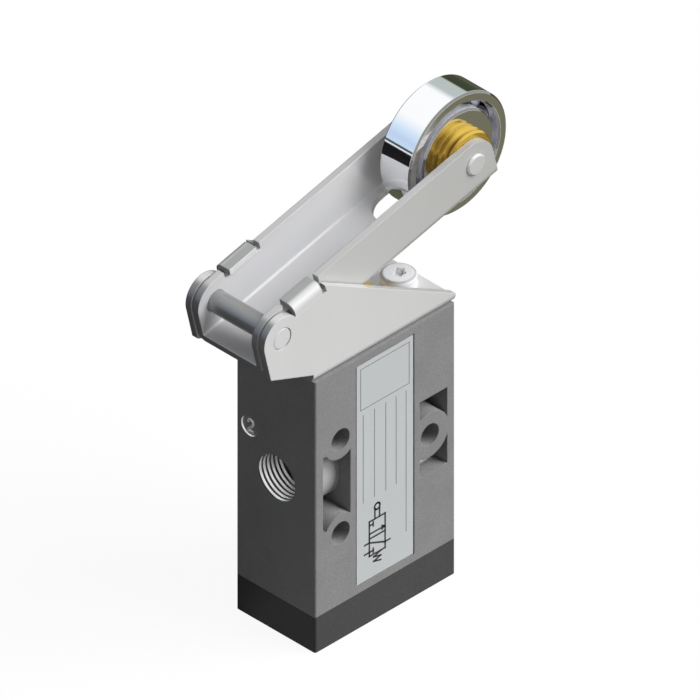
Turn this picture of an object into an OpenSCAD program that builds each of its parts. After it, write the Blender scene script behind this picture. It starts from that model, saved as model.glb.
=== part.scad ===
// Roller lever air valve: a three-port spool valve worked by a bent sheet lever with a ball bearing roller.
// Millimetres, +Z up, origin at the middle of the underside of the bottom cover.
// The lever pivots at the -X end and the roller stands out past the +X end.

/* [Body] */
// Length of the valve body along X
body_l = 32.3; // [31.5:0.1:36]
// Width of the valve body along Y
body_w = 18.2; // [17.5:0.1:22]
// Height of the valve body without its bottom cover
body_h = 47; // [45:0.5:52]
// Height of the bottom cover
cover_h = 7; // [6.5:0.5:10]
// Rounding of the upright edges
edge_r = 0.4; // [0.3:0.1:1.2]
// Radius of the spool bore through the body
bore_r = 6; // [5.8:0.1:6.4]

/* [Ports] */
// Radius at the thread crests of a port
port_crest_r = 4.283; // [3.9:0.05:4.5]
// Depth of the port thread form
port_thread_h = 0.581; // [0.3:0.05:0.8]
// Pitch of the port thread
port_pitch = 0.907; // [0.7:0.01:1.2]
// Number of thread turns in a port
port_turns = 8; // [4:1:8]
// Chamfer at the mouth of a port
port_flare = 0.2; // [0.1:0.05:0.4]
// Rise of the supply and exhaust ports from the working port
port_rise = 9.5; // [9:0.1:10]
// Radius of the passage from a port to the spool bore
passage_r = 2; // [1.2:0.1:2.5]
// Radius of the round port boss inside the side pockets
port_boss_r = 6.35; // [6:0.05:7]
// Radius of the shallow round that carries a port number
number_r = 1.9; // [1:0.1:2.2]
// Depth of that round
number_d = 0.35; // [0.1:0.05:0.6]
// Height of that round over its port
number_up = 7.4; // [7.1:0.1:7.8]
// Distance of that round from the middle of the body
number_side = 6.1; // [5.6:0.1:6.4]

/* [Fixing holes] */
// Radius of the three cross holes
fix_r = 2.1; // [1.5:0.05:2.3]
// Distance of the cross holes from the body ends
fix_inset = 5.85; // [5.4:0.05:6]
// Height of the outer cross holes from mid height
fix_rise = 9.3; // [9:0.1:10]
// Radius of the boss round a cross hole
fix_boss_r = 3.7; // [3.2:0.1:4]
// Radius of the boss of the single cross hole, which runs into the end wall
end_boss_r = 4.4; // [4.2:0.1:4.6]

/* [Side pockets] */
// Wall left at the body ends
pocket_edge = 1.8; // [1.2:0.05:2.5]
// Width of a pocket
pocket_w = 6.35; // [4:0.05:6.5]
// Height of a pocket
pocket_h = 15.1; // [10:0.1:17]
// Depth of a pocket
pocket_d = 6.5; // [3:0.1:7]

/* [Label] */
// Width of the label
label_w = 13; // [8:0.5:15]
// Height of the label
label_h = 43.6; // [30:0.2:44]
// Thickness of the label
label_t = 0.2; // [0.1:0.05:0.4]
// Gap round the label in its recess
label_gap = 0.25; // [0.1:0.05:0.5]

/* [Lever] */
// Distance from the lever pivot to the roller axle
lever_len = 47.5; // [47:0.5:56]
// Slope of the lever at rest
lever_angle = 13.4; // [12:0.1:15]
// Sheet thickness of the lever
lever_t = 1.3; // [1:0.1:1.5]
// Height of the lever sides above the line of its holes, and radius of their ends
lever_up = 4.2; // [3.8:0.1:4.6]
// Depth of the lever below the line of its holes
lever_down = 5.85; // [5.4:0.05:6]
// Inner bend radius of the folded sheets
bend_r = 0.3; // [0.2:0.1:0.8]
// Distance of the lever pivot past the -X end of the body
pivot_out = 7.56; // [7:0.02:9]
// Height of the lever pivot over the body top
pivot_up = 12.7; // [12:0.1:14]

/* [Bracket] */
// Sheet thickness of the bracket
bracket_t = 1.3; // [1:0.1:1.5]
// Gap between a bracket cheek and the lever
cheek_gap = 0.35; // [0.25:0.05:0.5]
// Radius of the bracket ears
ear_r = 4.2; // [3.6:0.1:4.6]
// Depth of the ears below the pivot
ear_down = 6.3; // [5.5:0.1:7]
// Height of the cheek peak over the body top
peak_up = 18.6; // [17.5:0.1:19.5]
// Distance of the cheek peak from the -X end of the body
peak_in = 2.15; // [1.9:0.05:3]
// Length of the stop tabs
tab_l = 6.4; // [4:0.1:6.6]
// Distance of the stop tabs from the pivot along the lever
tab_start = 3.7; // [3.5:0.1:3.9]
// Reach of the stop tabs from the cheek faces
tab_reach = 3.3; // [3:0.1:3.8]

/* [Pins] */
// Radius of the lever pin and of the roller axle
pin_r = 2; // [1.5:0.1:2.3]
// Stand-out of the riveted axle ends
axle_proud = 0.5; // [0.3:0.1:0.8]

/* [Roller bearing] */
// Outer radius of the roller
roller_r = 11.35; // [11.2:0.05:11.6]
// Width of the roller
roller_w = 7; // [6:0.1:7.2]
// Inner radius of the outer ring
outer_ring_in_r = 9.45; // [9.3:0.05:9.6]
// Outer radius of the inner ring
inner_ring_out_r = 8.2; // [8:0.05:8.3]
// Bore radius of the inner ring
inner_ring_bore_r = 4; // [3.5:0.1:4.5]
// Radius of a ball
ball_r = 1.5; // [1.2:0.05:1.5]
// Number of balls
ball_n = 12; // [8:1:13]
// Radius of the shoulder of the spacer bushes
spacer_r = 5.35; // [4.8:0.05:6]
// Depth of the groove round that shoulder
bush_groove = 0.45; // [0.2:0.05:0.6]

/* [Spool and plunger] */
// Radius of the spool lands
spool_r = 3.7; // [3.3:0.05:4]
// Radius of the spool neck
neck_r = 2.4; // [1.8:0.1:3]
// Travel of the spool and plunger
stroke = 4.5; // [4:0.1:4.6]
// Radius of the plunger
plunger_r = 2.5; // [2:0.1:3]
// Thickness of a spool seal along the bore
seal_t = 2.4; // [1.8:0.1:2.6]
// Radius of the collar of the plunger guide
collar_r = 6.6; // [6.5:0.1:7.4]
// Height of that collar over the bracket base
collar_h = 2.9; // [2:0.1:3.5]
// Wire radius of the return spring
wire_r = 0.4; // [0.3:0.05:0.45]
// Number of turns of the return spring
spring_turns = 5; // [4:0.5:6]

/* [Screws] */
// Distance of the bracket screws from the body ends
screw_inset = 3.95; // [3.75:0.05:4.3]
// Thread radius of the bracket screws
screw_r = 1.95; // [1.5:0.05:2]
// Head radius of the bracket screws
screw_head_r = 3.15; // [2.9:0.05:3.4]
// Head height of the bracket screws
screw_head_h = 2.3; // [1.8:0.1:2.6]
// Thread length of the bracket screws below their plate
screw_l = 7; // [5:0.5:7.5]
// Thread radius of the cover screws
cover_screw_r = 1.5; // [1:0.1:1.6]
// Head radius of the cover screws
cover_head_r = 2.7; // [2:0.1:2.9]
// Head height of the cover screws
cover_head_h = 2.4; // [1.5:0.1:2.8]

/* [Clearances] */
// Radial gap of a turning or sliding fit
run_gap = 0.05; // [0.03:0.01:0.08]
// Radial gap of a fixed fit
fit_gap = 0.03; // [0.02:0.01:0.06]
// Gap between pieces that meet without being fixed
meet_gap = 0.12; // [0.08:0.01:0.2]
// Gap beside the roller in its web slot
slot_gap = 1.1; // [0.8:0.1:1.6]

/* [Hidden] */
$fn = 64;

// Extra length that lets a cut run past a face
cut = 1;
half_l = body_l / 2;
half_w = body_w / 2;
body_top = cover_h + body_h;
mid_z = cover_h + body_h / 2;
base_top = body_top + bracket_t;

// Port levels, port depths and cross hole centres
port_2 = mid_z;
port_1 = mid_z - port_rise;
port_3 = mid_z + port_rise;
port_root_r = port_crest_r + port_thread_h;
port_depth = port_flare + port_pitch * port_turns;
fix_x = half_l - fix_inset;

// Stack in the spool bore: seals stand one port rise apart, half way between the ports
stack_r = bore_r - fit_gap;
seal_z = [for (i = [-1.5, -0.5, 0.5, 1.5]) mid_z + i * port_rise];
seal_in_r = spool_r + run_gap;
stack_low = seal_z[0] - seal_t / 2;
stack_high = seal_z[3] + seal_t / 2;
spacer_room = 0.5;
spacer_in_r = spool_r + spacer_room;

// Spool: length past the stack, lap of its neck edges over the seals, edge chamfer
spool_rise = 5;
spool_over = 4;
neck_lap = 0.3;
spool_edge = 0.4;
spool_low = cover_h + spool_rise;
spool_top = stack_high + spool_over;
neck_low = seal_z[1] + seal_t / 2 + neck_lap;
neck_high = seal_z[2] - seal_t / 2 + stroke - neck_lap;

// Spring chamber in the cover, spring and the plug it pushes on
spring_floor = 1.8;
chamber_room = 0.6;
chamber_r = spool_r + chamber_room;
spring_room = 0.3;
spring_r = spool_r - wire_r - spring_room;
seat_h = 1.2;
seat_r = spool_r - spring_room;

// Ring seal between the cover and the body
seal_wire_r = 0.5;
seal_ring_out = 0.9;
seal_ring_r = bore_r + seal_ring_out;
seal_lift = meet_gap / 4;

// Lever, worked out along its own line s from the pivot and height n above that line
lever_w = body_w - 2 * bracket_t - 2 * cheek_gap;
lever_in = lever_w / 2 - lever_t;
pivot_x = -half_l - pivot_out;
pivot_z = body_top + pivot_up;
notch_over = 1;
notch_from = tab_start - notch_over;
notch_to = tab_start + tab_l + notch_over;
slot_r = roller_w / 2 + slot_gap;
slot_s = lever_len - roller_r;
web_end = lever_len - spacer_r - slot_gap;
bush_relief = 0.1;
bush_room = lever_in + bush_relief;

// Bracket: the base stands a little past both body ends, the tabs a little over the lever sides
base_over_left = 0.35;
base_over_right = 0.15;
base_lip = 0.5;
base_left = -half_l - base_over_left;
base_right = half_l + base_over_right;
bracket_bend = bend_r + bracket_t;
tab_over = 0.1;
tab_top = lever_up + tab_over;
tab_under = tab_top - bracket_t;
tab_root = tab_top - bracket_bend;
relief = 0.9;
tab_thin = 0.03;
cheek_n = tab_root - relief;
notch_n = tab_under - meet_gap;

// Plunger: its domed tip stays one meeting gap under the lever web
tip_r = 4;
tip_drop = tip_r - sqrt(tip_r * tip_r - plunger_r * plunger_r);
web_under = pivot_z - pivot_x * tan(lever_angle) - (lever_down + tip_r) / cos(lever_angle);
tip_z = web_under + tip_r - meet_gap / cos(lever_angle);

// Plunger guide with its wiper
guide_r = bore_r - fit_gap;
guide_room = 0.3;
collar_top = base_top + collar_h;
collar_edge = 0.5;
wiper_wall = 1.4;
wiper_r = plunger_r + wiper_wall;
wiper_h = 1.6;
wiper_lip = 0.5;

// Screws and threaded inserts
screw_x = half_l - screw_inset;
insert_wall = 0.95;
insert_r = screw_r + insert_wall;
screw_hole_r = screw_r + 0.2;
screw_short = 0.5;
screw_round = 0.8;
recess_r = 0.42 * screw_head_r;
recess_core = 0.78;
recess_lobe = 0.24;
cover_grip = 7.5;
cover_plate = 3.6;
cover_head_room = 0.2;
cover_head_seat = cover_h - cover_plate;
hex_r = 0.95 * cover_screw_r;

// Roller bearing
ball_pitch_r = (outer_ring_in_r + inner_ring_out_r) / 2;
race_gap = 0.08;
race_r = ball_r + race_gap;
cage_gap = 0.15;
cage_grip = 0.6;
cage_back = 0.8;
ring_chamfer = 0.35;
bush_end = lever_in - run_gap;
axle_end = lever_w / 2 + axle_proud;
axle_edge = 0.3;
pin_edge = 0.2;

BODY = [0.47, 0.47, 0.48];
DARK = [0.13, 0.13, 0.14];
STEEL = [0.78, 0.78, 0.78];
BRASS = [0.86, 0.60, 0.16];
RUBBER = [0.08, 0.08, 0.08];
WHITE = [0.80, 0.82, 0.83];

// Puts a lever shape, drawn along X from the pivot, in its place on the valve
module on_lever() {
    translate([pivot_x, 0, pivot_z]) rotate([0, -lever_angle, 0]) children();
}

// Puts a shape of the valve in the lever's frame
module from_valve() {
    rotate([0, lever_angle, 0]) translate([-pivot_x, 0, -pivot_z]) children();
}

// Place of the roller axle
module on_axle() {
    on_lever() translate([lever_len, 0, 0]) children();
}

// Round bar along Y, centred
module bar_y(r, l) {
    rotate([90, 0, 0]) cylinder(r = r, h = l, center = true);
}

// Round bar along X from x0 to x1
module bar_x(r, x0, x1) {
    translate([x0, 0, 0]) rotate([0, 90, 0]) cylinder(r = r, h = x1 - x0);
}

// Tube along Z from z0 to z1
module tube(r_out, r_in, z0, z1) {
    translate([0, 0, z0]) difference() {
        cylinder(r = r_out, h = z1 - z0);
        translate([0, 0, -cut]) cylinder(r = r_in, h = z1 - z0 + 2 * cut);
    }
}

// Rectangle with round corners
module round_rect(l, w, r) {
    square([l - 2 * r, w], center = true);
    square([l, w - 2 * r], center = true);
    for (x = [-1, 1], y = [-1, 1])
        translate([x * (l / 2 - r), y * (w / 2 - r)]) circle(r = r);
}

// Block of the valve's plan from z0 to z1
module plan_block(z0, z1) {
    translate([0, 0, z0]) linear_extrude(z1 - z0) round_rect(body_l, body_w, edge_r);
}

// Flat shape with two round lower corners
module tub(w, low, high, r) {
    translate([-w / 2, low + r]) square([w, high - low - r]);
    translate([r - w / 2, low]) square([w - 2 * r, 2 * r]);
    for (x = [-1, 1]) translate([x * (w / 2 - r), low + r]) circle(r = r);
}

// Section of a folded channel, open at the top
module channel(w, low, high, t) {
    difference() {
        tub(w, low, high, t + bend_r);
        tub(w - 2 * t, low + t, high + cut, bend_r);
    }
}

// Extrudes a Y-Z section along X from x0 to x1
module along_x(x0, x1) {
    translate([x0, 0, 0]) rotate([90, 0, 90]) linear_extrude(x1 - x0) children();
}

// Extrudes an X-Z outline over the width w
module across(w) {
    rotate([90, 0, 0]) linear_extrude(w, center = true) children();
}

// Tapped port running along -X from its mouth at x = 0, with the thread form as rings
module port_cut() {
    flat = port_pitch / 8;
    rotate([0, -90, 0]) rotate_extrude() polygon(concat(
        [[0, -cut], [port_crest_r + port_flare, -cut], [port_crest_r + port_flare, 0],
         [port_crest_r, port_flare]],
        [for (i = [0:port_turns - 1], p = [
                [port_crest_r, 2 * flat], [port_root_r, 4.5 * flat],
                [port_root_r, 5.5 * flat], [port_crest_r, 8 * flat]])
            [p[0], port_flare + i * port_pitch + p[1]]],
        [[0, port_depth]]));
}

// Port at height z on the end given by side, with its passage to the bore and its number round
module port_at(side, z) {
    translate([side * half_l, 0, z]) mirror([side < 0 ? 1 : 0, 0, 0]) port_cut();
    translate([0, 0, z]) bar_x(passage_r, side > 0 ? 0 : -half_l + port_depth / 2,
                               side > 0 ? half_l - port_depth / 2 : 0);
    translate([side * half_l, number_side, z + number_up]) rotate([0, 90, 0])
        cylinder(r = number_r, h = 2 * number_d, center = true);
}

// Pocket cut from both faces on one end, round the bosses that cross it
module pocket(side) {
    x_mid = half_l - pocket_edge - pocket_w / 2;
    for (face = [-1, 1]) difference() {
        translate([side * x_mid, face * (half_w - pocket_d / 2 + cut / 2), mid_z])
            cube([pocket_w, pocket_d + cut, pocket_h], center = true);
        fixing_holes(fix_boss_r, end_boss_r);
        if (side < 0) translate([0, 0, port_2]) bar_x(port_boss_r, -half_l, 0);
        if (side > 0) for (z = [port_1, port_3]) translate([0, 0, z]) bar_x(port_boss_r, 0, half_l);
    }
}

// The three cross holes, or their bosses: the pair at one end and the single one at the other
module fixing_holes(pair_r, single_r) {
    for (p = [[-fix_x, fix_rise, pair_r], [-fix_x, -fix_rise, pair_r], [fix_x, 0, single_r]])
        translate([p[0], 0, mid_z + p[1]]) bar_y(p[2], body_w + 4 * cut);
}

module valve_body() {
    color(BODY) difference() {
        plan_block(cover_h, body_top);
        translate([0, 0, cover_h - cut]) cylinder(r = bore_r, h = body_h + 2 * cut);
        fixing_holes(fix_r, fix_r);
        pocket(-1);
        pocket(1);
        port_at(-1, port_2);
        port_at(1, port_1);
        port_at(1, port_3);
        translate([0, -half_w, mid_z])
            cube([label_w + 2 * label_gap, 2 * label_gap, label_h + 2 * label_gap], center = true);
        for (x = [-1, 1]) {
            translate([x * screw_x, 0, body_top - screw_l - cut])
                cylinder(r = insert_r + fit_gap, h = screw_l + 2 * cut);
            translate([x * screw_x, 0, cover_h - cut])
                cylinder(r = cover_screw_r + fit_gap, h = cover_grip + 2 * cut);
        }
    }
}

module bottom_cover() {
    color(DARK) difference() {
        plan_block(0, cover_h);
        translate([0, 0, spring_floor]) cylinder(r = chamber_r, h = cover_h);
        tube(seal_ring_r + seal_wire_r + meet_gap, seal_ring_r - seal_wire_r - meet_gap,
             cover_h - 2 * seal_wire_r - meet_gap, cover_h + cut);
        for (x = [-1, 1]) translate([x * screw_x, 0, 0]) {
            translate([0, 0, -cut]) cylinder(r = cover_screw_r + fit_gap, h = cover_h + 2 * cut);
            translate([0, 0, -cut]) cylinder(r = cover_head_r + cover_head_room, h = cover_head_seat + cut);
        }
    }
}

module cover_seal() {
    color(RUBBER) translate([0, 0, cover_h - seal_wire_r - seal_lift])
        rotate_extrude() translate([seal_ring_r, 0]) circle(r = seal_wire_r, $fn = 24);
}

module cover_screws() {
    color(STEEL) for (x = [-1, 1]) translate([x * screw_x, 0, cover_head_seat]) difference() {
        union() {
            cylinder(r = cover_screw_r, h = cover_plate + cover_grip);
            translate([0, 0, -cover_head_h]) cylinder(r = cover_head_r, h = cover_head_h);
        }
        translate([0, 0, -cover_head_h - cut])
            cylinder(r = hex_r, h = cover_head_h / 2 + cut, $fn = 6);
    }
}

module label() {
    color(WHITE) translate([0, label_gap - half_w - label_t / 2, mid_z])
        cube([label_w, label_t, label_h], center = true);
}

module lower_guide() {
    color(DARK) tube(stack_r, seal_in_r, cover_h, stack_low);
}

module seal_spacers() {
    color(WHITE) for (i = [0:2]) difference() {
        tube(stack_r, spacer_in_r, seal_z[i] + seal_t / 2, seal_z[i + 1] - seal_t / 2);
        for (a = [0, 60, 120]) translate([0, 0, (seal_z[i] + seal_z[i + 1]) / 2])
            rotate([0, 0, a]) bar_x(passage_r, -bore_r - cut, bore_r + cut);
    }
}

module spool_seals() {
    lip = seal_t / 4;
    color(RUBBER) for (z = seal_z) translate([0, 0, z]) rotate_extrude() polygon([
        [seal_in_r, -lip], [seal_in_r + lip, -seal_t / 2], [stack_r, -seal_t / 2],
        [stack_r, seal_t / 2], [seal_in_r + lip, seal_t / 2], [seal_in_r, lip]]);
}

module spool() {
    taper = spool_r - neck_r;
    color(STEEL) rotate_extrude() polygon([
        [0, spool_low], [spool_r - spool_edge, spool_low], [spool_r, spool_low + spool_edge],
        [spool_r, neck_low], [neck_r, neck_low + taper],
        [neck_r, neck_high - taper], [spool_r, neck_high],
        [spool_r, spool_top - spool_edge], [spool_r - spool_edge, spool_top], [0, spool_top]]);
}

// Plug under the spool that takes the spring
module spring_seat() {
    color(DARK) translate([0, 0, spool_low - seat_h]) cylinder(r = seat_r, h = seat_h);
}

// Points of the spring wire's section ring at turn fraction u
function wire_ring(u, sides) = let(
        low = spring_floor + wire_r,
        high = spool_low - seat_h - wire_r - meet_gap,
        a = 360 * spring_turns * u)
    [for (k = [0:sides - 1]) let(b = 360 * k / sides, r = spring_r + wire_r * cos(b))
        [r * cos(a), r * sin(a), low + (high - low) * u + wire_r * sin(b)]];

module return_spring() {
    sides = 8;
    rings = 16 * spring_turns;
    points = [for (i = [0:rings]) each wire_ring(i / rings, sides)];
    skin = [for (i = [0:rings - 1], k = [0:sides - 1]) let(n = (k + 1) % sides)
        [i * sides + k, (i + 1) * sides + k, (i + 1) * sides + n, i * sides + n]];
    first = [for (k = [0:sides - 1]) k];
    last = [for (k = [sides - 1:-1:0]) rings * sides + k];
    color(STEEL) polyhedron(points, concat(skin, [first, last]));
}

module plunger_guide() {
    color(BRASS) rotate_extrude() polygon([
        [spool_r + guide_room, stack_high], [guide_r, stack_high], [guide_r, base_top],
        [collar_r, base_top], [collar_r, collar_top - collar_edge], [collar_r - collar_edge, collar_top],
        [wiper_r + fit_gap, collar_top], [wiper_r + fit_gap, collar_top - wiper_h - fit_gap],
        [plunger_r + run_gap, collar_top - wiper_h - fit_gap],
        [plunger_r + run_gap, spool_top + meet_gap], [spool_r + guide_room, spool_top + meet_gap]]);
}

module rod_wiper() {
    color(RUBBER) rotate_extrude() polygon([
        [plunger_r + run_gap + wiper_lip, collar_top - wiper_h], [wiper_r, collar_top - wiper_h],
        [wiper_r, collar_top], [plunger_r + run_gap, collar_top],
        [plunger_r + run_gap, collar_top - wiper_lip]]);
}

module plunger() {
    color(STEEL) intersection() {
        translate([0, 0, spool_top]) cylinder(r = plunger_r, h = tip_z - spool_top + cut);
        union() {
            translate([0, 0, tip_z - tip_r]) sphere(r = tip_r);
            translate([0, 0, spool_top]) cylinder(r = plunger_r + cut, h = tip_z - tip_drop - spool_top);
        }
    }
}

module screw_inserts() {
    color(BRASS) for (x = [-1, 1]) translate([x * screw_x, 0, 0])
        tube(insert_r, screw_r + fit_gap, body_top - screw_l, body_top);
}

// Place of a valve point, given as [x, z], along and above the lever's line
function on_line(p) = let(d = p - [pivot_x, pivot_z])
    [d[0] * cos(lever_angle) + d[1] * sin(lever_angle), d[1] * cos(lever_angle) - d[0] * sin(lever_angle)];

// Side outline of the bracket in the lever's frame: ears, peak and sloping cheeks
module cheek_outline() {
    circle(r = ear_r);
    polygon([
        [-ear_r, 0], [-ear_r, -ear_down],
        on_line([base_left, base_top + base_lip]), on_line([base_left, body_top - cut]),
        on_line([base_right, body_top - cut]), on_line([base_right, base_top + base_lip]),
        on_line([peak_in - half_l, body_top + peak_up]),
        [tab_start + tab_l + relief, cheek_n], [0, cheek_n]]);
}

// Section of both stop tabs: an upturned channel from inside the cheeks, without its middle
module tab_section() {
    difference() {
        translate([0, tab_top - tab_thin]) mirror([0, 1])
            channel(body_w - 2 * tab_thin, 0, tab_top, bracket_t - 2 * tab_thin);
        translate([tab_reach - half_w, -cut]) square([body_w - 2 * tab_reach, tab_top + 2 * cut]);
    }
}

module lever_bracket() {
    color(STEEL) on_lever() difference() {
        union() {
            intersection() {
                from_valve() along_x(pivot_x - 2 * ear_r, base_right + cut)
                    translate([0, body_top]) channel(body_w, 0, 2 * peak_up, bracket_t);
                across(body_w + 2 * cut) cheek_outline();
            }
            along_x(tab_start, tab_start + tab_l) tab_section();
        }
        bar_y(pin_r + fit_gap, body_w + 4 * cut);
        from_valve() translate([0, 0, body_top - cut]) {
            cylinder(r = guide_r + fit_gap, h = bracket_t + 2 * cut);
            for (x = [-1, 1]) translate([x * screw_x, 0, 0]) cylinder(r = screw_hole_r, h = bracket_t + 2 * cut);
        }
    }
}

// Six-lobed driver recess
module lobe_recess(r) {
    circle(r = recess_core * r);
    for (a = [0:60:300]) rotate(a) translate([(1 - recess_lobe) * r, 0]) circle(r = recess_lobe * r, $fn = 24);
}

module bracket_screws() {
    shank = screw_l + bracket_t - screw_short;
    color(STEEL) for (x = [-1, 1]) translate([x * screw_x, 0, base_top]) difference() {
        union() {
            translate([0, 0, -shank]) cylinder(r = screw_r, h = shank);
            rotate_extrude() {
                square([screw_head_r, screw_head_h - screw_round]);
                square([screw_head_r - screw_round, screw_head_h]);
                translate([screw_head_r - screw_round, screw_head_h - screw_round]) circle(r = screw_round);
            }
        }
        translate([0, 0, screw_head_h / 2]) linear_extrude(screw_head_h) lobe_recess(recess_r);
    }
}

// Pin along Y with a chamfered edge at both ends
module chamfered_pin(r, half, c) {
    rotate([90, 0, 0]) rotate_extrude() polygon([
        [0, -half], [r - c, -half], [r, c - half], [r, half - c], [r - c, half], [0, half]]);
}

module lever_pin() {
    color(STEEL) on_lever() chamfered_pin(pin_r, half_w, pin_edge);
}

// Side outline of the lever: round ends over the holes, and the notch that meets the stop tabs
module lever_outline() {
    difference() {
        union() {
            for (s = [0, lever_len]) translate([s, 0]) circle(r = lever_up);
            translate([0, -lever_down]) square([lever_len, lever_down + lever_up]);
            translate([-lever_up, -lever_down]) square([lever_len + 2 * lever_up, lever_down]);
        }
        translate([notch_from, notch_n]) square([notch_to - notch_from, lever_up]);
    }
}

module roller_lever() {
    reach = lever_len + lever_up + cut;
    color(STEEL) on_lever() difference() {
        intersection() {
            along_x(-lever_up - cut, reach) channel(lever_w, -lever_down, lever_up + cut, lever_t);
            across(lever_w + 2 * cut) lever_outline();
        }
        bar_y(pin_r + run_gap, body_w);
        translate([lever_len, 0, 0]) bar_y(pin_r + fit_gap, body_w);
        translate([0, 0, -lever_down - cut]) linear_extrude(lever_t + 2 * cut) {
            translate([slot_s, 0]) circle(r = slot_r);
            translate([slot_s, -slot_r]) square([reach - slot_s, 2 * slot_r]);
            translate([web_end, -bush_room]) square([reach - web_end, 2 * bush_room]);
        }
    }
}

module roller_axle() {
    color(STEEL) on_axle() chamfered_pin(pin_r, axle_end, axle_edge);
}

// Spacer bush: a spigot in the inner ring and a grooved shoulder that reaches the lever side
module spacer_bush() {
    c = ring_chamfer;
    g = bush_groove;
    spigot_r = inner_ring_bore_r - fit_gap;
    face = roller_w / 2;
    mid = (face + bush_end) / 2;
    bore = pin_r + fit_gap;
    color(BRASS) rotate([90, 0, 0]) rotate_extrude() polygon([
        [bore, meet_gap], [spigot_r, meet_gap], [spigot_r, face], [spacer_r - c, face],
        [spacer_r, face + c], [spacer_r, mid - g], [spacer_r - g, mid], [spacer_r, mid + g],
        [spacer_r, bush_end - c], [spacer_r - c, bush_end], [bore, bush_end]]);
}

module near_bush() {
    on_axle() spacer_bush();
}

module far_bush() {
    on_axle() mirror([0, 1, 0]) spacer_bush();
}

// Bearing ring of chamfered section between two radii, with the ball race cut in
module race_ring(r_in, r_out) {
    half = roller_w / 2;
    c = ring_chamfer;
    on_axle() rotate([90, 0, 0]) rotate_extrude() difference() {
        polygon([
            [r_in, c - half], [r_in + c, -half], [r_out - c, -half], [r_out, c - half],
            [r_out, half - c], [r_out - c, half], [r_in + c, half], [r_in, half - c]]);
        translate([ball_pitch_r, 0]) circle(r = race_r);
    }
}

module inner_ring() {
    color(STEEL) race_ring(inner_ring_bore_r, inner_ring_out_r);
}

module outer_ring() {
    color(STEEL) race_ring(outer_ring_in_r, roller_r);
}

// Places one child at each ball
module at_balls() {
    for (i = [0:ball_n - 1]) on_axle() rotate([0, i * 360 / ball_n, 0])
        translate([ball_pitch_r, 0, 0]) children();
}

module bearing_balls() {
    color(STEEL) at_balls() sphere(r = ball_r);
}

// Crown cage: a ring behind the balls whose prongs reach between them
module ball_cage() {
    r_in = inner_ring_out_r + cage_gap;
    r_out = outer_ring_in_r - cage_gap;
    color(STEEL) difference() {
        on_axle() rotate([90, 0, 0]) tube(r_out, r_in, -ball_r - cage_back, -cage_grip);
        at_balls() sphere(r = ball_r + meet_gap);
    }
}

valve_body();
bottom_cover();
cover_seal();
cover_screws();
label();
lower_guide();
seal_spacers();
spool_seals();
spool();
spring_seat();
return_spring();
plunger_guide();
rod_wiper();
plunger();
screw_inserts();
lever_bracket();
bracket_screws();
lever_pin();
roller_lever();
roller_axle();
near_bush();
far_bush();
inner_ring();
ball_cage();
bearing_balls();
outer_ring();
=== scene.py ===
import math

import bmesh
import bpy
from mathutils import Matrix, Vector


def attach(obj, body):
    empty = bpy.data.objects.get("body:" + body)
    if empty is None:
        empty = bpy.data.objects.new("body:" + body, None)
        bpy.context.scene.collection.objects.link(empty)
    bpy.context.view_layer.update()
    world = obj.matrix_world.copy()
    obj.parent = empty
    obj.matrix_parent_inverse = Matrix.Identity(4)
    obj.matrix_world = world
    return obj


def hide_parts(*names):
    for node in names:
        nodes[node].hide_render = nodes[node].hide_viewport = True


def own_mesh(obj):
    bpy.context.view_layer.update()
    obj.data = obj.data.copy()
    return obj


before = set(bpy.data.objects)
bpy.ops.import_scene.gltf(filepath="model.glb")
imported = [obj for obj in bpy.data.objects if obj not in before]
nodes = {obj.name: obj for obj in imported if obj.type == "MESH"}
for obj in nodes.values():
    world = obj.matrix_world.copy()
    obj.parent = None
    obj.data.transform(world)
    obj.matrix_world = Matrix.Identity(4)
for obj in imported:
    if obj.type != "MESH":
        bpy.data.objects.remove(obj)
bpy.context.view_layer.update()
scene = bpy.context.scene
MM = 0.001
EVEN = (1, 1, 1)
WHITE = (1, 1, 1, 1)
BLACK = (0, 0, 0, 1)


# Camera: true isometric view from the label side and the port 2 side

VIEW_CENTRE = Vector((0.99 * MM, 0, 47.58 * MM))
VIEW_BACK = Vector((-1, -1, 1)).normalized()
VIEW_SPAN = 114.31 * MM
VIEW_DISTANCE = 0.6
VIEW_NEAR = 0.01
VIEW_FAR = 10

camera_data = bpy.data.cameras.new("camera")
camera_data.type = "ORTHO"
camera_data.ortho_scale = VIEW_SPAN
camera_data.clip_start = VIEW_NEAR
camera_data.clip_end = VIEW_FAR
camera = bpy.data.objects.new("camera", camera_data)
camera.location = VIEW_CENTRE + VIEW_BACK * VIEW_DISTANCE
camera.rotation_euler = VIEW_BACK.to_track_quat("Z", "Y").to_euler()
scene.collection.objects.link(camera)
scene.camera = camera
scene.view_settings.view_transform = "Standard"


# Node tree helpers

MIX_A, MIX_B, MIX_RESULT = 6, 7, 2
NOISE_ROUGH = 0.55
BEVEL_SAMPLES = 6


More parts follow.
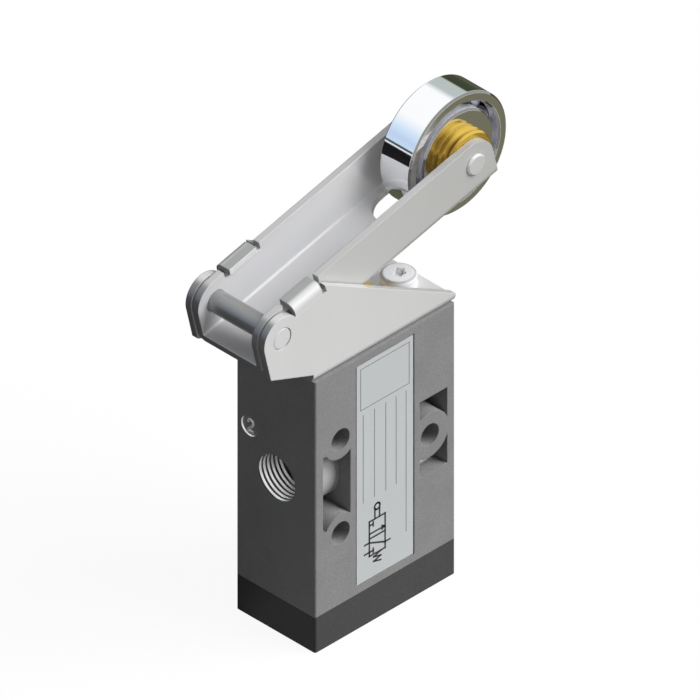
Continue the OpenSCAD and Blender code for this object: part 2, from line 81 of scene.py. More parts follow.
class Tree:
    """A node tree with short calls for the nodes that the materials share."""

    def __init__(self, tree):
        self.tree = tree
        self.tree.nodes.clear()

    def add(self, kind, **values):
        node = self.tree.nodes.new(kind)
        for key, value in values.items():
            setattr(node, key, value)
        return node

    def link(self, start, end):
        self.tree.links.new(start, end)

    def feed(self, socket, value):
        """Link a socket to another one, or set its plain value."""
        if isinstance(value, bpy.types.NodeSocket):
            self.link(value, socket)
        else:
            socket.default_value = value

    def math(self, operation, a, b=0.0):
        node = self.add("ShaderNodeMath", operation=operation)
        for socket, value in zip(node.inputs, (a, b)):
            self.feed(socket, value)
        return node.outputs[0]

    def both(self, a, b):
        """1 where both masks are 1."""
        return self.math("MULTIPLY", a, b)

    def within(self, value, low, high):
        """1 where the value lies between the two limits."""
        return self.both(self.math("GREATER_THAN", value, low), self.math("LESS_THAN", value, high))

    def polar(self, across, up, centre):
        """Offsets from a centre and the distance from it."""
        across = self.math("SUBTRACT", across, centre[0])
        up = self.math("SUBTRACT", up, centre[1])
        squares = [self.math("MULTIPLY", offset, offset) for offset in (across, up)]
        return across, up, self.math("SQRT", self.math("ADD", *squares))

    def mix(self, factor, a, b, blend="MIX"):
        node = self.add("ShaderNodeMix", data_type="RGBA", blend_type=blend)
        self.feed(node.inputs["Factor"], factor)
        self.feed(node.inputs[MIX_A], a)
        self.feed(node.inputs[MIX_B], b)
        return node.outputs[MIX_RESULT]

    def span(self, value, low, high, to_low, to_high, kind="LINEAR"):
        node = self.add("ShaderNodeMapRange", interpolation_type=kind)
        for socket, number in zip(node.inputs, (value, low, high, to_low, to_high)):
            self.feed(socket, number)
        return node.outputs[0]

    def rise(self, value, low, high, least=0):
        """A soft step up to 1 between the two limits."""
        return self.span(value, low, high, least, 1, "SMOOTHSTEP")

    def fall(self, value, low, high):
        """A soft step from 1 down to 0 between the two limits."""
        return self.span(value, low, high, 1, 0, "SMOOTHSTEP")

    def bands(self, value, stops):
        """Colour bands over a value from -1 to 1."""
        node = self.add("ShaderNodeValToRGB")
        self.link(self.span(value, -1, 1, 0, 1), node.inputs[0])
        ramp = node.color_ramp
        while len(ramp.elements) < len(stops):
            ramp.elements.new(1.0)
        for element, (place, colour) in zip(ramp.elements, stops):
            element.position = (place + 1) / 2
            element.color = tuple(colour) + (1.0,)
        return node.outputs[0]

    def split(self, vector):
        node = self.add("ShaderNodeSeparateXYZ")
        self.link(vector, node.inputs[0])
        return node.outputs

    def place(self, stretch=EVEN):
        """The position in the piece's own frame, stretched if asked."""
        coords = self.add("ShaderNodeTexCoord").outputs["Object"]
        if tuple(stretch) == EVEN:
            return coords
        node = self.add("ShaderNodeMapping", vector_type="POINT")
        node.inputs["Scale"].default_value = stretch
        self.link(coords, node.inputs["Vector"])
        return node.outputs[0]

    def facing(self):
        """The surface direction in the piece's own frame."""
        return self.split(self.add("ShaderNodeTexCoord").outputs["Normal"])

    def noise(self, where, scale, detail):
        node = self.add("ShaderNodeTexNoise")
        self.link(where, node.inputs["Vector"])
        node.inputs["Scale"].default_value = scale
        node.inputs["Detail"].default_value = detail
        node.inputs["Roughness"].default_value = NOISE_ROUGH
        return node.outputs["Fac"]

    def bump(self, height, depth, strength, under=None):
        node = self.add("ShaderNodeBump")
        node.inputs["Distance"].default_value = depth
        node.inputs["Strength"].default_value = strength
        self.link(height, node.inputs["Height"])
        if under is not None:
            self.link(under, node.inputs["Normal"])
        return node.outputs[0]

    def edges(self, radius):
        """A normal that is rounded at the edges."""
        node = self.add("ShaderNodeBevel", samples=BEVEL_SAMPLES)
        node.inputs["Radius"].default_value = radius
        return node.outputs[0]

    def tint(self, shader, mask, colour):
        """Put a colour over the shader's own where the mask is 1."""
        socket = shader.inputs["Base Color"]
        self.feed(socket, self.mix(mask, socket.links[0].from_socket, colour))

    def smooth(self, shader, mask, roughness):
        """Put a roughness over the shader's own where the mask is 1."""
        socket = shader.inputs["Roughness"]
        self.feed(socket, self.span(mask, 0, 1, socket.links[0].from_socket, roughness))


def shade(colour, factor):
    return tuple(min(1.0, c * factor) for c in colour) + (1.0,)


def surface(name, metallic, specular):
    """A new material with one Principled shader, as (material, tree, shader)."""
    material = bpy.data.materials.new(name + "_finish")
    material.use_nodes = True
    tree = Tree(material.node_tree)
    shader = tree.add("ShaderNodeBsdfPrincipled")
    shader.inputs["Metallic"].default_value = metallic
    shader.inputs["Specular IOR Level"].default_value = specular
    tree.link(shader.outputs[0], tree.add("ShaderNodeOutputMaterial").inputs[0])
    return material, tree, shader


FINE_LOW, FINE_HIGH = 0.32, 0.68
CLOUD_LOW, CLOUD_HIGH = 0.3, 0.7
CLOUD_DETAIL = 3.0


def grained(name, colour, grain, vary, rough, rough_vary, depth, strength=0.5, metallic=0.0,
            specular=0.5, stretch=EVEN, edge=0.0, blotch=60.0, blotch_vary=0.04, detail=2.0,
            blotch_stretch=EVEN):
    """A material with a fine grain in colour, gloss and height over a faint large mottle."""
    material, tree, shader = surface(name, metallic, specular)
    grit = tree.noise(tree.place(stretch), grain, detail)
    fine = tree.span(grit, FINE_LOW, FINE_HIGH, 0, 1)
    large = tree.noise(tree.place(blotch_stretch), blotch, CLOUD_DETAIL)
    cloud = tree.span(large, CLOUD_LOW, CLOUD_HIGH, 1 - blotch_vary, 1 + blotch_vary)
    grey = tree.add("ShaderNodeCombineColor")
    for socket in grey.inputs[:3]:
        tree.link(cloud, socket)
    tone = tree.mix(fine, shade(colour, 1 - vary), shade(colour, 1 + vary))
    tone = tree.mix(1.0, tone, grey.outputs[0], "MULTIPLY")
    tree.feed(shader.inputs["Base Color"], tone)
    gloss = tree.span(fine, 0, 1, rough - rough_vary, rough + rough_vary)
    tree.feed(shader.inputs["Roughness"], gloss)
    under = tree.edges(edge) if edge else None
    tree.feed(shader.inputs["Normal"], tree.bump(fine, depth, strength, under))
    return material, tree, shader


# Moulded body: each port is a number, a side along X and a height in millimetres

PORTS = (("2", -1, 30.5), ("1", 1, 21.0), ("3", 1, 40.0))
NUMBER_SIDE = 6.1
NUMBER_UP = 7.4
BODY_END = 16.15 * MM
FLANK_INWARD = 0.85
FLANK_OUTWARD = 0.53
FLANK_IN, FLANK_OUT = 4.40 * MM, 4.77 * MM
PORT_LIP, PORT_DEPTH = 0.2 * MM, 5.7 * MM
BOSS_R, BOSS_SKIN = 6.35 * MM, 0.1 * MM
BOSS_FROM, BOSS_TO = 1.7 * MM, 8.25 * MM
NUMBER_R, NUMBER_WALL = 1.9 * MM, 0.06 * MM
FACE_SKIN, NUMBER_DEPTH = 0.03 * MM, 0.34 * MM
THREAD_ZONE = (FLANK_IN, FLANK_OUT, PORT_LIP, PORT_DEPTH)
BOSS_ZONE = (BOSS_R - BOSS_SKIN, BOSS_R + BOSS_SKIN, BOSS_FROM, BOSS_TO)
WALL_ZONE = (NUMBER_R - NUMBER_WALL, NUMBER_R + NUMBER_WALL, FACE_SKIN, NUMBER_DEPTH)
# Painted light: the port bosses inside the pockets are made lighter than the rest of the body
BOSS_LIGHT_TONE = (0.62, 0.62, 0.62, 1)
# Painted highlight: a pale metallic tone on the cut threads and on the walls round the numbers
PAINTED_HIGHLIGHT_TONE = (0.97, 0.96, 0.95, 1)
THREAD_ROUGH = 0.4


def round_zone(tree, side, centre, inner, outer, shallow, deep):
    """1 in a round zone under one end face, between two radii and two depths."""
    x, y, z = tree.split(tree.place())
    depth = tree.math("SUBTRACT", BODY_END, tree.math("MULTIPLY", x, side))
    away = tree.polar(y, z, centre)[2]
    return tree.both(tree.within(depth, shallow, deep), tree.within(away, inner, outer))


def rounded_flank(tree, side, centre, zone):
    """The normal of a rounded ridge that leans out of its hole, and nothing outside the zone."""
    _, y, z = tree.split(tree.place())
    across, up, away = tree.polar(y, z, centre)
    inward = tree.math("DIVIDE", tree.math("MULTIPLY", zone, -FLANK_INWARD), away)
    node = tree.add("ShaderNodeCombineXYZ")
    tree.feed(node.inputs[0], tree.math("MULTIPLY", zone, side * FLANK_OUTWARD))
    tree.feed(node.inputs[1], tree.math("MULTIPLY", across, inward))
    tree.feed(node.inputs[2], tree.math("MULTIPLY", up, inward))
    return node.outputs[0]


def body_material():
    """Grey block with a speckled grain, with painted highlights on the cut threads and on the walls
    round the numbers, and painted light on the port bosses.
    """
    material, tree, shader = grained(
        "body_plastic", (0.305, 0.305, 0.304), grain=3600, vary=0.1, rough=0.56, rough_vary=0.05,
        depth=0.00003, strength=0.4, specular=0.2, edge=0.00015, blotch=140, blotch_vary=0.05)
    ridges = tree.add("ShaderNodeNewGeometry").outputs["Normal"]
    # Masks for the painted highlights on threads and number walls, and for the painted light on the
    # bosses
    bright = 0.0
    boss_light = 0.0
    for _, side, height in PORTS:
        port = (0, height * MM)
        number = (NUMBER_SIDE * MM, (height + NUMBER_UP) * MM)
        for centre, limits in ((port, THREAD_ZONE), (number, WALL_ZONE)):
            zone = round_zone(tree, side, centre, *limits)
            ridges = tree.mix(zone, ridges, rounded_flank(tree, side, centre, zone))
            bright = tree.math("ADD", bright, zone)
        boss_light = tree.math("ADD", boss_light, round_zone(tree, side, port, *BOSS_ZONE))
    # Painted light on the port bosses, then painted highlights on the threads and number walls
    tree.tint(shader, boss_light, BOSS_LIGHT_TONE)
    tree.tint(shader, bright, PAINTED_HIGHLIGHT_TONE)
    tree.smooth(shader, bright, THREAD_ROUGH)
    tree.feed(shader.inputs["Metallic"], bright)
    bump = shader.inputs["Normal"].links[0].from_node
    relief = bump.inputs["Height"]
    moulded = tree.math("SUBTRACT", 1.0, bright)
    tree.feed(relief, tree.math("MULTIPLY", relief.links[0].from_socket, moulded))
    normal = bump.inputs["Normal"]
    tree.feed(normal, tree.mix(bright, normal.links[0].from_socket, ridges))
    return material


# Ball bearing

AXLE = (22.497 * MM, 77.708 * MM)
RING_EDGE, RING_FACE = 3.17 * MM, 3.485 * MM
RACE_IN, RACE_OUT = 7.9 * MM, 9.8 * MM
RING_EDGE_TONE = (0.28, 0.28, 0.27, 1)
# Painted light: the races in the gap between the rings are pale and less metallic
RACE_LIGHT_TONE = (0.80, 0.80, 0.86, 1)
RACE_METALLIC = 0.35
RACE_ROUGH = 0.2


def bearing_material():
    """Polished steel, with dull ground edges, and painted light on the pale races between the
    rings.
    """
    material, tree, shader = grained(
        "bearing_steel", (0.91, 0.915, 0.93), grain=8000, vary=0.01, rough=0.05, rough_vary=0.01,
        depth=0.0000001, strength=0.1, metallic=1.0, edge=0.00006, blotch_vary=0.008, detail=0.0)
    x, y, z = tree.split(tree.place())
    off_middle = tree.math("ABSOLUTE", y)
    away = tree.polar(x, z, AXLE)[2]
    race = tree.both(tree.within(away, RACE_IN, RACE_OUT),
                     tree.math("LESS_THAN", off_middle, RING_EDGE))
    tree.tint(shader, tree.within(off_middle, RING_EDGE, RING_FACE), RING_EDGE_TONE)
    # Painted light on the races in the gap
    tree.tint(shader, race, RACE_LIGHT_TONE)
    tree.feed(shader.inputs["Metallic"], tree.span(race, 0, 1, 1.0, RACE_METALLIC))
    tree.smooth(shader, race, RACE_ROUGH)
    return material


# Sheet parts

SATIN = dict(grain=8000, vary=0.01, rough=0.3, rough_vary=0.01, depth=0.0000001, strength=0.2,
             detail=0.0)
# Painted shade: limits of how far a face turns towards the pivot end (-X) to get the darker tone
EDGE_SHADE_FULL, EDGE_SHADE_NONE = -0.6, -0.3
PIVOT_X, PIVOT_Z = -23.71 * MM, 66.7 * MM
LEVER_SLOPE = math.radians(13.4)
TAB_FROM, TAB_TO = 3.6 * MM, 10.2 * MM
TAB_TOP = 4.1 * MM
TAB_LOW = 2.5 * MM
TAB_END = 5.83 * MM
TAB_FLAT, TAB_BEND = 7.2 * MM, 8.1 * MM
# Painted shade on the flat tops of the stop tabs, painted light on their end faces
TAB_TOP_SHADE_TONE = (0.46, 0.46, 0.46, 1)
TAB_END_LIGHT_TONE = (0.98, 0.98, 0.965, 1)
# Painted shade on the sheet's cut edges at the pivot end
SHEET_EDGE_SHADE_TONE = (0.34, 0.34, 0.345, 1)


def pivot_end_shade(tree):
    """1 on the cut edges that face the pivot end, where painted shade goes, 0 on the rolled faces
    of a sheet.
    """
    return tree.fall(tree.facing()[0], EDGE_SHADE_FULL, EDGE_SHADE_NONE)


def sheet_material():
    """Satin sheet steel, with painted shade on the cut edges at the pivot end and on the tops of
    the stop tabs, and painted light on the tab ends.
    """
    material, tree, shader = grained(
        "sheet_steel", (0.83, 0.83, 0.83), grain=900, vary=0.003, rough=0.32, rough_vary=0.03,
        depth=0.0000005, strength=0.3, metallic=0.3, edge=0.0002, blotch=160, blotch_vary=0.012,
        detail=0.0, blotch_stretch=(1, 1, 0.05))
    x, y, z = tree.split(tree.place())
    out = tree.math("SUBTRACT", x, PIVOT_X)
    up = tree.math("SUBTRACT", z, PIVOT_Z)
    along = tree.math("ADD", tree.math("MULTIPLY", out, math.cos(LEVER_SLOPE)),
                      tree.math("MULTIPLY", up, math.sin(LEVER_SLOPE)))
    above = tree.math("SUBTRACT", tree.math("MULTIPLY", up, math.cos(LEVER_SLOPE)),
                      tree.math("MULTIPLY", out, math.sin(LEVER_SLOPE)))
    off_middle = tree.math("ABSOLUTE", y)
    tab = tree.within(along, TAB_FROM, TAB_TO)
    top = tree.both(tab, tree.math("GREATER_THAN", above, TAB_TOP))
    end = tree.both(tab, tree.math("LESS_THAN", off_middle, TAB_END))
    end = tree.both(end, tree.math("GREATER_THAN", above, TAB_LOW))
    # Painted shade on the flat tops of the tabs, then painted light on their ends
    tree.tint(shader, tree.both(top, tree.fall(off_middle, TAB_FLAT, TAB_BEND)), TAB_TOP_SHADE_TONE)
    tree.tint(shader, end, TAB_END_LIGHT_TONE)
    # Painted shade on the cut edges that face the pivot end
    tree.tint(shader, pivot_end_shade(tree), SHEET_EDGE_SHADE_TONE)
    return material


LEVER_INSIDE = 6.25 * MM
CHANNEL_FROM, CHANNEL_TO = -2.0 * MM, 9.0 * MM
FOLD_FROM, FOLD_TO = 5.7 * MM, 6.15 * MM
# Painted light inside the channel, paler towards the roller, and a white painted highlight along
# the folds
CHANNEL_LIGHT_TONE = (0.81, 0.81, 0.825, 1)
CHANNEL_TIP_LIGHT_TONE = (0.97, 0.97, 0.98, 1)
# Painted shade on the lever's cut ends at the pivot end
LEVER_EDGE_SHADE_TONE = (0.36, 0.36, 0.365, 1)


def lever_material():
    """Satin sheet, with painted light inside the channel that grows towards the roller, a painted
    highlight along its folds, and painted shade at its cut ends at the pivot end.
    """
    material, tree, shader = grained(
        "lever_steel", (0.67, 0.67, 0.66), **SATIN, metallic=0.25, edge=0.0002, blotch=90,
        blotch_vary=0.01)
    x, y, _ = tree.split(tree.place())
    off_middle = tree.math("ABSOLUTE", y)
    # Painted light in the channel, growing towards the roller, then a white painted highlight along
    # the folds
    channel = tree.mix(tree.rise(x, CHANNEL_FROM, CHANNEL_TO), CHANNEL_LIGHT_TONE, CHANNEL_TIP_LIGHT_TONE)
    channel = tree.mix(tree.within(off_middle, FOLD_FROM, FOLD_TO), channel, WHITE)
    tree.tint(shader, tree.math("LESS_THAN", off_middle, LEVER_INSIDE), channel)
    # Painted shade on the cut ends that face the pivot end
    tree.tint(shader, pivot_end_shade(tree), LEVER_EDGE_SHADE_TONE)
    return material


# Pins, brass and screws

PIN_MIDDLE = 6.2 * MM
# Painted shade on the shank between the lever sides
SHANK_SHADE_TONE = (0.36, 0.36, 0.365, 1)


def pin_material():
    """Bright rivet ends and painted shade on the shank between the sides."""
    material, tree, shader = grained(
        "pin_steel", (0.82, 0.82, 0.825), **SATIN, metallic=0.35, edge=0.0002)
    off_middle = tree.math("ABSOLUTE", tree.split(tree.place())[1])
    tree.tint(shader, tree.math("LESS_THAN", off_middle, PIN_MIDDLE), SHANK_SHADE_TONE)
    return material


# Painted shade on brass by the direction a face turns: deepest on faces towards the pivot end
BROWN_FULL, BROWN_NONE = -0.6, -0.1
BROWN_LOW, BROWN_HIGH = 0.15, 0.6
BROWN_LEAST = 0.25
BROWN_SHADE_TONE = (0.24, 0.135, 0.022, 1)


def brass_material():
    """Turned brass, bright on top, with painted shade that makes it browner on the faces turned
    towards the pivot end.
    """
    material, tree, shader = grained(
        "brass", (0.80, 0.54, 0.095), grain=5000, vary=0.02, rough=0.26, rough_vary=0.02,
        depth=0.0000002, strength=0.2, metallic=1.0, stretch=(1, 6, 1), edge=0.00006, detail=0.0)
    x, _, z = tree.facing()
    brass_shade = tree.both(tree.fall(x, BROWN_FULL, BROWN_NONE),
                      tree.rise(z, BROWN_LOW, BROWN_HIGH, BROWN_LEAST))
    # Painted shade: browner where the face turns towards the pivot end
    tree.tint(shader, brass_shade, BROWN_SHADE_TONE)
    return material


SCREW_X = 12.15 * MM
RIM_IN, RIM_OUT = 2.62 * MM, 2.98 * MM
RIM_LOW = 57.0 * MM
RIM_TONE = (0.56, 0.56, 0.57, 1)


def screw_material():
    """Pale plated steel with a grey line round the top of each head."""
    material, tree, shader = grained(
        "screw_steel", (0.97, 0.97, 0.99), **SATIN, metallic=0.15, edge=0.0001)
    x, y, z = tree.split(tree.place())
    away = tree.polar(tree.math("ABSOLUTE", x), y, (SCREW_X, 0))[2]
    rim = tree.both(tree.within(away, RIM_IN, RIM_OUT), tree.math("GREATER_THAN", z, RIM_LOW))
    tree.tint(shader, rim, RIM_TONE)
    return material


# Plain finishes, and the material of every slot

PLAIN = {
    "cover_plastic": dict(
        colour=(0.08, 0.08, 0.081), grain=3000, vary=0.1, rough=0.42, rough_vary=0.05,
        depth=0.00002, strength=0.35, edge=0.00025, specular=0.1),
    "guide_plastic": dict(
        colour=(0.72, 0.72, 0.70), grain=2500, vary=0.05, rough=0.45, rough_vary=0.05,
        depth=0.00002),
    "spacer_plastic": dict(
        colour=(0.20, 0.21, 0.23), grain=2500, vary=0.07, rough=0.45, rough_vary=0.05,
        depth=0.00002),
    "seal_rubber": dict(
        colour=(0.035, 0.035, 0.037), grain=2200, vary=0.12, rough=0.62, rough_vary=0.06,
        depth=0.00003),
    "label_foil": dict(
        colour=(0.665, 0.69, 0.695), grain=5200, vary=0.03, rough=0.38, rough_vary=0.05,
        depth=0.00001, strength=0.3, blotch_vary=0.02),
    "spool_aluminium": dict(
        colour=(0.76, 0.77, 0.78), grain=2200, vary=0.05, rough=0.3, rough_vary=0.05,
        depth=0.00002, metallic=1.0, stretch=(1, 1, 12)),
    "spring_steel": dict(
        colour=(0.50, 0.50, 0.52), grain=2600, vary=0.08, rough=0.28, rough_vary=0.05,
        depth=0.00002, metallic=1.0),
    "plunger_steel": dict(
        colour=(0.72, 0.72, 0.74), grain=2600, vary=0.05, rough=0.2, rough_vary=0.04,
        depth=0.00001, metallic=1.0, stretch=(1, 1, 10)),
    "cage_steel": dict(
        colour=(0.66, 0.66, 0.72), grain=2400, vary=0.03, rough=0.4, rough_vary=0.04,
        depth=0.000004, strength=0.2, metallic=0.35),
    # Painted highlight: the raised figures are pale so that they stand out bright
    "figure": dict(
        colour=(0.88, 0.88, 0.88), grain=3000, vary=0.05, rough=0.35, rough_vary=0.05,
        depth=0.00001, strength=0.2, metallic=0.4),
    "label_ink": dict(
        colour=(0.028, 0.028, 0.03), grain=3000, vary=0.1, rough=0.5, rough_vary=0.05,
        depth=0.00001),
    "label_rule": dict(
        colour=(0.22, 0.23, 0.235), grain=3000, vary=0.08, rough=0.5, rough_vary=0.05,
        depth=0.00001),
}

paint = {name: grained(name, **values)[0] for name, values in PLAIN.items()}
paint["body_plastic"] = body_material()
paint["sheet_steel"] = sheet_material()
paint["pin_steel"] = pin_material()
paint["screw_steel"] = screw_material()
paint["bearing_steel"] = bearing_material()
paint["brass"] = brass_material()
own_finish = {"roller_lever": lever_material(), "ball_cage": paint["cage_steel"]}

for name, node in nodes.items():
    for slot in node.material_slots:
        kind = slot.material.name.split(".")[0]
        slot.material = own_finish.get(name, paint[kind])


# Raised port numbers

NUMBER_BEAD = 0.25
NUMBER_FLOOR = 15.8
WIRE_FACETS = 3


def add_piece(name, mesh, material, body="valve"):
    piece = bpy.data.objects.new(name, mesh)
    scene.collection.objects.link(piece)
    mesh.materials.append(material)
    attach(piece, body)
    return piece


def curve_points(points, steps=8):
    """A smooth line through the points (Catmull-Rom)."""
    ends = [points[0]] + list(points) + [points[-1]]
    line = []
    for i in range(1, len(ends) - 2):
        a, b, c, d = (Vector(ends[i + k]) for k in (-1, 0, 1, 2))
        for k in range(steps):
            t = k / steps
            line.append(0.5 * (2 * b + (c - a) * t + (2 * a - 5 * b + 4 * c - d) * t * t
                               + (3 * b - a - 3 * c + d) * t * t * t))
    line.append(Vector(points[-1]))
    return line


NUMBERS = {
    "1": [[(-0.42, 0.72), (0.12, 1.12)], [(0.12, 1.12), (0.12, -1.12)]],
    "2": [curve_points([(-0.62, 0.52), (-0.42, 0.95), (0.02, 1.12), (0.48, 0.92), (0.60, 0.48),
                        (0.30, -0.10), (-0.20, -0.62), (-0.62, -1.12)]),
          [(-0.62, -1.12), (0.66, -1.12)]],
    "3": [curve_points([(-0.58, 0.80), (-0.20, 1.10), (0.30, 1.05), (0.56, 0.62), (0.36, 0.20),
                        (-0.12, 0.06)]),
          curve_points([(-0.12, 0.06), (0.42, -0.06), (0.64, -0.55), (0.38, -1.02),
                        (-0.16, -1.14), (-0.60, -0.84)])],
}


def wire_mesh(strokes, radius):
    """A mesh of round wire along lines of points, with sizes in millimetres."""
    curve = bpy.data.curves.new("wire", "CURVE")
    curve.dimensions = "3D"
    curve.bevel_depth = radius * MM
    curve.bevel_resolution = WIRE_FACETS
    curve.use_fill_caps = True
    for stroke in strokes:
        spline = curve.splines.new("POLY")
        spline.points.add(len(stroke) - 1)
        for point, place in zip(spline.points, stroke):
            point.co = tuple(Vector(place) * MM) + (1,)
    temporary = bpy.data.objects.new("wire", curve)
    scene.collection.objects.link(temporary)
    ready = temporary.evaluated_get(bpy.context.evaluated_depsgraph_get())
    mesh = bpy.data.meshes.new_from_object(ready)
    bpy.data.objects.remove(temporary)
    mesh.polygons.foreach_set("use_smooth", [True] * len(mesh.polygons))
    mesh.materials.clear()
    return mesh


def raised_number(digit, side, height):
    """A beaded figure on the floor of its round recess, pale as a painted highlight."""
    strokes = [[(side * NUMBER_FLOOR, NUMBER_SIDE + side * u, height + v) for u, v in stroke]
               for stroke in NUMBERS[digit]]
    mesh = wire_mesh(strokes, NUMBER_BEAD)
    add_piece("port_number_" + digit, mesh, paint["figure"])


for digit, side, height in PORTS:
    raised_number(digit, side, height + NUMBER_UP)


# Return spring

SPRING_WIRE = 0.4
SPRING_TURNS = 5
SPRING_STEPS = 24


def return_coil(wire):
    """The return spring as a coil of wire in the place of the model's spring, which it hides."""
    node = nodes["return_spring"]
    corners = [node.matrix_world @ Vector(corner) / MM for corner in node.bound_box]
    low = min(corner.z for corner in corners)
    high = max(corner.z for corner in corners)
    around = max(corner.x for corner in corners) - wire
    line = []
    for i in range(SPRING_TURNS * SPRING_STEPS + 1):
        turn = 2 * math.pi * i / SPRING_STEPS
        rise = (high - low - 2 * wire) * i / (SPRING_TURNS * SPRING_STEPS)
        line.append((around * math.cos(turn), around * math.sin(turn), low + wire + rise))
    mesh = wire_mesh([line], wire)
    piece = add_piece("spring_coil", mesh, paint["spring_steel"])
    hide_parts("return_spring")
    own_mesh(piece)


return_coil(SPRING_WIRE)


# Print on the label, with places and widths in millimetres

LABEL_FACE = 9.05
INK_T = 0.02


def printed(name, lines, material):
    """Flat bars of ink on the label: each line is a start, an end and a width."""
    shape = bmesh.new()
    for start, end, width in lines:
        a, b = Vector(start), Vector(end)
        along = (b - a).normalized() * (width / 2)
        across = Vector((-along.y, along.x))
        corners = (a - along - across, b + along - across, b + along + across, a - along + across)
        rows = [[shape.verts.new(Vector((c.x, -LABEL_FACE - deep, c.y)) * MM) for c in corners]
                for deep in (-INK_T, INK_T)]
        shape.faces.new(rows[0])
        shape.faces.new(rows[1][::-1])
        for i in range(4):
            j = (i + 1) % 4
            shape.faces.new((rows[0][j], rows[0][i], rows[1][i], rows[1][j]))
    bmesh.ops.recalc_face_normals(shape, faces=shape.faces)
    mesh = bpy.data.meshes.new(name)
    shape.to_mesh(mesh)
    shape.free()
    add_piece(name, mesh, material)


def joined(points, width, closed=False):
    """Lines of one width from point to point."""
    pairs = list(zip(points, points[1:]))
    if closed:
        pairs.append((points[-1], points[0]))
    return [(a, b, width) for a, b in pairs]


SYM_LINE = 0.34
SYM_LEFT, SYM_RIGHT = -3.6, 0.05
SYM_CENTRE = (SYM_LEFT + SYM_RIGHT) / 2
SYM_LOW, SYM_MID, SYM_HIGH = 13.1, 16.55, 20.0
LEAD = 1.1
FLOW_OPEN = 17.5
ARROW_BACK, ARROW_TIP, ARROW_HALF = 0.75, 0.1, 0.35
STOP_TIP, STOP_HALF = SYM_LEFT + 0.9, 0.4
STOP_OPEN, STOP_REST = 19.2, 13.9
FLOW_LEFT, FLOW_RIGHT = 15.8, 14.3
STEM_HALF, STEM_TOP = 0.55, 21.7
ROLL_R, ROLL_UP, ROLL_SIDES = 0.62, 22.3, 12
ZIG_HALF, ZIG_GAP, ZIG_STEP, ZIG_POINTS = 0.8, 0.1, 0.45, 5


def closed_port(start, height):
    """A short line with a bar across its end."""
    return (joined([(start, height), (STOP_TIP, height)], SYM_LINE)
            + joined([(STOP_TIP, height - STOP_HALF), (STOP_TIP, height + STOP_HALF)], SYM_LINE))


def valve_symbol():
    """The standard sign for a three-port, two-way valve with a roller and a spring."""
    w = SYM_LINE
    lines = joined([(SYM_LEFT, SYM_LOW), (SYM_RIGHT, SYM_LOW), (SYM_RIGHT, SYM_HIGH),
                    (SYM_LEFT, SYM_HIGH)], w, True)
    lines += joined([(SYM_LEFT, SYM_MID), (SYM_RIGHT, SYM_MID)], w)
    lines += joined([(SYM_LEFT, FLOW_OPEN), (SYM_RIGHT, FLOW_OPEN)], w)
    lines += joined([(SYM_RIGHT - ARROW_BACK, FLOW_OPEN - ARROW_HALF),
                     (SYM_RIGHT - ARROW_TIP, FLOW_OPEN),
                     (SYM_RIGHT - ARROW_BACK, FLOW_OPEN + ARROW_HALF)], w)
    lines += closed_port(SYM_LEFT, STOP_OPEN)
    lines += joined([(SYM_LEFT - LEAD, FLOW_LEFT), (SYM_LEFT, FLOW_LEFT),
                     (SYM_RIGHT, FLOW_RIGHT), (SYM_RIGHT + LEAD, FLOW_RIGHT)], w)
    lines += closed_port(SYM_LEFT - LEAD, STOP_REST)
    for x in (SYM_CENTRE - STEM_HALF, SYM_CENTRE + STEM_HALF):
        lines += joined([(x, SYM_HIGH), (x, STEM_TOP)], w)
    turns = [2 * math.pi * k / ROLL_SIDES for k in range(ROLL_SIDES)]
    lines += joined([(SYM_CENTRE + ROLL_R * math.cos(turn), ROLL_UP + ROLL_R * math.sin(turn))
                     for turn in turns], w, True)
    lines += joined([(SYM_CENTRE + ZIG_HALF * (-1) ** k, SYM_LOW - ZIG_GAP - ZIG_STEP * k)
                     for k in range(ZIG_POINTS)], w)
    return lines


RULE_W = 0.13
FRAME_HALF, FRAME_LOW, FRAME_HIGH = 5.6, 43.2, 51.4
RULE_TOP = 42.0
RULES = ((4.9, 14.0), (2.6, 24.5), (0.2, 24.5), (-2.4, 24.5), (-5.0, 24.5))


def blank_fields():
    """An empty frame and plain ruled lines."""
    lines = joined([(-FRAME_HALF, FRAME_LOW), (FRAME_HALF, FRAME_LOW), (FRAME_HALF, FRAME_HIGH),
                    (-FRAME_HALF, FRAME_HIGH)], RULE_W, True)
    for x, low in RULES:
        lines += joined([(x, low), (x, RULE_TOP)], RULE_W)
    return lines


printed("label_symbol", valve_symbol(), paint["label_ink"])
printed("label_fields", blank_fields(), paint["label_rule"])


# Light: one soft key lamp from the label side and a pale room

KEY_FROM = Vector((0.46, -0.62, 0.64)).normalized()
KEY_ENERGY = 3.3
KEY_SPREAD = math.radians(45)

key_data = bpy.data.lights.new("key", "SUN")
key_data.energy = KEY_ENERGY
key_data.angle = KEY_SPREAD
key = bpy.data.objects.new("key", key_data)
key.rotation_euler = KEY_FROM.to_track_quat("Z", "Y").to_euler()
key.location = KEY_FROM
key.visible_glossy = False
scene.collection.objects.link(key)


def ray_kinds(tree):
    """1 for rays from the camera or through glass, and 1 for mirror rays."""
    path = tree.add("ShaderNodeLightPath")
    seen = tree.math("MAXIMUM", path.outputs["Is Camera Ray"], path.outputs["Is Transmission Ray"])
    return seen, path.outputs["Is Glossy Ray"]


# Room in mirrors: each band is the height of a direction and its colour

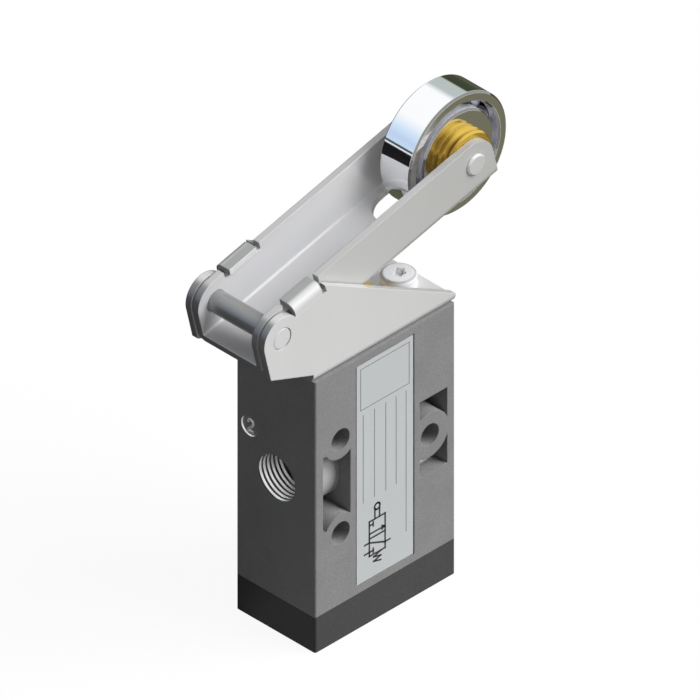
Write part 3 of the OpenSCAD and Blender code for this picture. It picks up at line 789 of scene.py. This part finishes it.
NIGHT = (0.010, 0.010, 0.012)
STRIP = (0.85, 0.88, 0.92)
OLIVE = (0.05, 0.06, 0.035)
CEILING = (1.05, 1.06, 1.06)
BLUE_BANDS = (
    (-1.0, NIGHT), (0.035, NIGHT), (0.045, STRIP), (0.075, STRIP), (0.085, (0.03, 0.04, 0.05)),
    (0.125, (0.06, 0.08, 0.09)), (0.14, (0.60, 0.78, 0.95)), (0.30, (0.56, 0.68, 0.91)),
    (0.48, (0.68, 0.85, 1.0)), (0.70, CEILING))
OLIVE_BANDS = (
    (-1.0, (0.09, 0.10, 0.06)), (0.20, OLIVE), (0.25, OLIVE), (0.31, (0.52, 0.57, 0.53)),
    (0.60, (0.52, 0.57, 0.57)), (0.70, CEILING))
BLUE_TO, OLIVE_FROM = -0.05, 0.05
BEHIND_FROM, BEHIND_TO = 0.2, 0.4
DIM_SKY = (0.16, 0.16, 0.162, 1)


def build_world():
    """White for the camera, a studio gradient for mirrors and a dim sky for the rest."""
    world = bpy.data.worlds.new("room")
    world.use_nodes = True
    scene.world = world
    tree = Tree(world.node_tree)
    seen, mirror = ray_kinds(tree)
    x, y, z = tree.split(tree.add("ShaderNodeTexCoord").outputs["Generated"])
    behind = tree.mix(tree.rise(x, BLUE_TO, OLIVE_FROM), tree.bands(z, BLUE_BANDS),
                      tree.bands(z, OLIVE_BANDS))
    studio = tree.mix(tree.rise(y, BEHIND_FROM, BEHIND_TO), WHITE, behind)
    colour = tree.mix(seen, tree.mix(mirror, DIM_SKY, studio), WHITE)
    shader = tree.add("ShaderNodeBackground")
    tree.link(colour, shader.inputs["Color"])
    tree.link(shader.outputs[0], tree.add("ShaderNodeOutputWorld").inputs[0])


build_world()


# Floor, with its own tones in mirrors, near and far, towards the port and towards the roller

FLOOR_R = 0.7
FLOOR_SIDES = 96
FLOOR_DROP = 0.02 * MM
FLOOR_GLOW = (0.93, 0.93, 0.93, 1)
FLOOR_SEEN = (0.085, 0.085, 0.085, 1)
FLOOR_UNSEEN = (0.13, 0.13, 0.13, 1)
FAR_RISE = (0.1, 0.6)
FAR_FALL = (2.5, 2.9)
ROLLER_SIDE = (-0.03, 0.01)
NEAR_FADE = (0.007, 0.0145)
NEAR_PORT_TONE = (0.6, 0.6, 0.6, 1)
NEAR_ROLLER_TONE = (0.74, 0.735, 0.72, 1)
NEAR_FADED_TONE = (0.175, 0.17, 0.115, 1)
FAR_PORT_TONE = (0.012, 0.012, 0.014, 1)
FAR_ROLLER_TONE = (0.09, 0.10, 0.06, 1)


def mirrored_floor(tree):
    """The floor's colour in mirrors."""
    x, y, _ = tree.split(tree.place())
    turn = tree.math("ARCTAN2", y, x)
    far_side = tree.both(tree.rise(turn, *FAR_RISE), tree.fall(turn, *FAR_FALL))
    roller_side = tree.rise(x, *ROLLER_SIDE)
    fade = tree.rise(tree.math("ADD", x, y), *NEAR_FADE)
    near = tree.mix(roller_side, NEAR_PORT_TONE,
                    tree.mix(fade, NEAR_ROLLER_TONE, NEAR_FADED_TONE))
    far = tree.mix(roller_side, FAR_PORT_TONE, FAR_ROLLER_TONE)
    return tree.mix(far_side, near, far)


def build_floor():
    """A pale round floor that keeps a faint shadow, and is darker in mirrors."""
    mesh = bpy.data.meshes.new("floor")
    shape = bmesh.new()
    bmesh.ops.create_circle(shape, cap_ends=True, segments=FLOOR_SIDES, radius=FLOOR_R)
    shape.to_mesh(mesh)
    shape.free()
    floor = bpy.data.objects.new("floor", mesh)
    floor.location.z = -FLOOR_DROP
    scene.collection.objects.link(floor)
    material = bpy.data.materials.new("floor")
    material.use_nodes = True
    tree = Tree(material.node_tree)
    seen, mirror = ray_kinds(tree)
    glow = tree.add("ShaderNodeEmission")
    tree.feed(glow.inputs["Color"], tree.mix(mirror, FLOOR_GLOW, mirrored_floor(tree)))
    unlit = tree.add("ShaderNodeEmission")
    unlit.inputs["Strength"].default_value = 0
    lit = tree.add("ShaderNodeMixShader")
    tree.link(tree.math("MAXIMUM", seen, mirror), lit.inputs[0])
    tree.link(unlit.outputs[0], lit.inputs[1])
    tree.link(glow.outputs[0], lit.inputs[2])
    matte = tree.add("ShaderNodeBsdfDiffuse")
    pale = tree.mix(seen, FLOOR_UNSEEN, FLOOR_SEEN)
    tree.feed(matte.inputs["Color"], tree.mix(mirror, pale, BLACK))
    shader = tree.add("ShaderNodeAddShader")
    tree.link(lit.outputs[0], shader.inputs[0])
    tree.link(matte.outputs[0], shader.inputs[1])
    tree.link(shader.outputs[0], tree.add("ShaderNodeOutputMaterial").inputs[0])
    mesh.materials.append(material)


build_floor()
